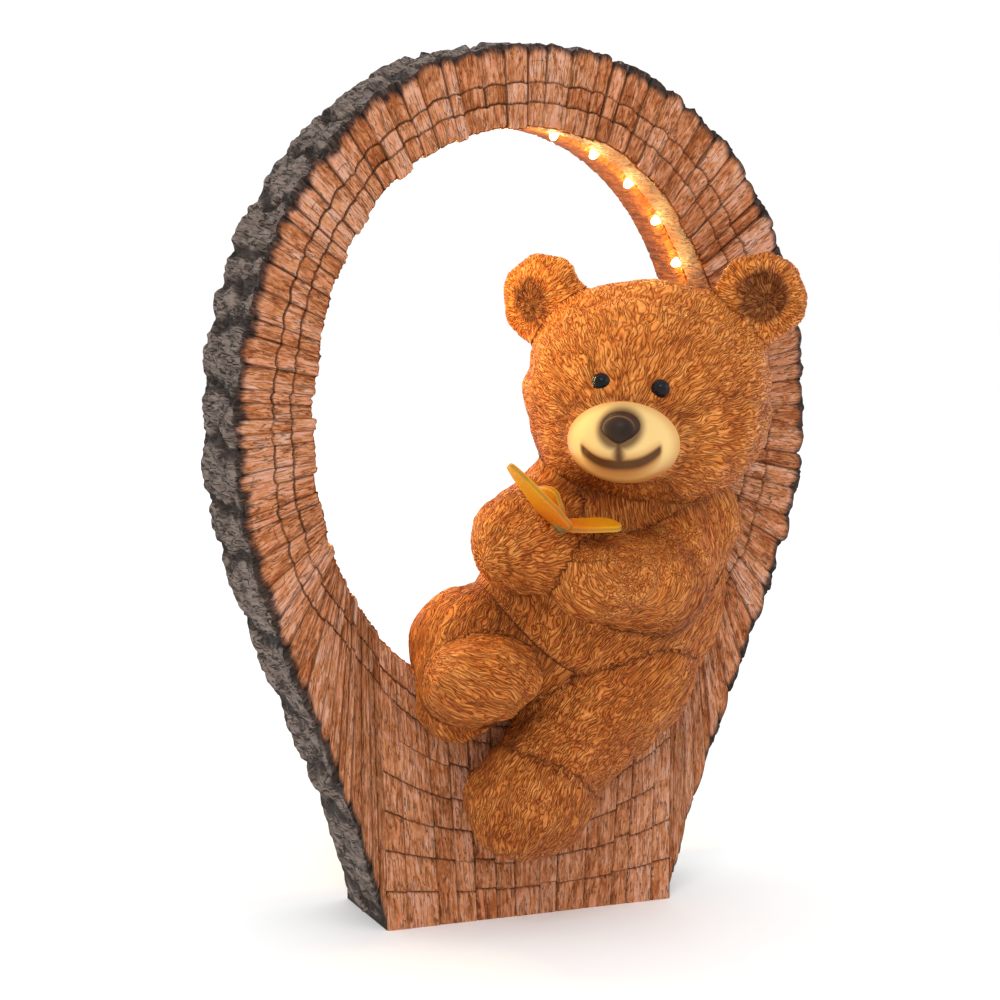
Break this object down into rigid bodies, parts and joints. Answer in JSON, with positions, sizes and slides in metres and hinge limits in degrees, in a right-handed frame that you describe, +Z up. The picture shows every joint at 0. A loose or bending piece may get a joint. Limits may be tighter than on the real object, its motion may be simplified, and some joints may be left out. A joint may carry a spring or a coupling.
{
  "type": "solar bear garden statue",
  "caption": "Garden statue of a bear holding a butterfly, seated in an upright slice of log with an oval opening lit by a string of solar lamps",
  "frame": {"origin": "middle of the flat underside of the log slice, half way between its faces", "axes": "-Y is the front, that the bear faces; +X is to the right seen from the front; +Z is up"},
  "size_m": [0.2792, 0.1411, 0.4006],
  "materials": {
    "painted_resin": "cast resin, carved as wood, bark and fur and painted matt",
    "lamp_wire": "thin lacquered copper wire",
    "lamp": "clear resin bead, lit warm white",
    "solar_cell": "dark solar cell in a black frame"
  },
  "bodies": {
    "root": {"statue": "painted_resin", "lamp_wire": "lamp_wire", "solar_panel": "solar_cell", "lamp_01": "lamp", "lamp_02": "lamp", "lamp_03": "lamp", "lamp_04": "lamp", "lamp_05": "lamp", "lamp_06": "lamp", "lamp_07": "lamp", "lamp_08": "lamp", "lamp_09": "lamp", "lamp_10": "lamp", "lamp_11": "lamp", "lamp_12": "lamp", "lamp_13": "lamp", "lamp_14": "lamp", "lamp_15": "lamp", "lamp_16": "lamp", "lamp_17": "lamp"}
  },
  "joints": []
}
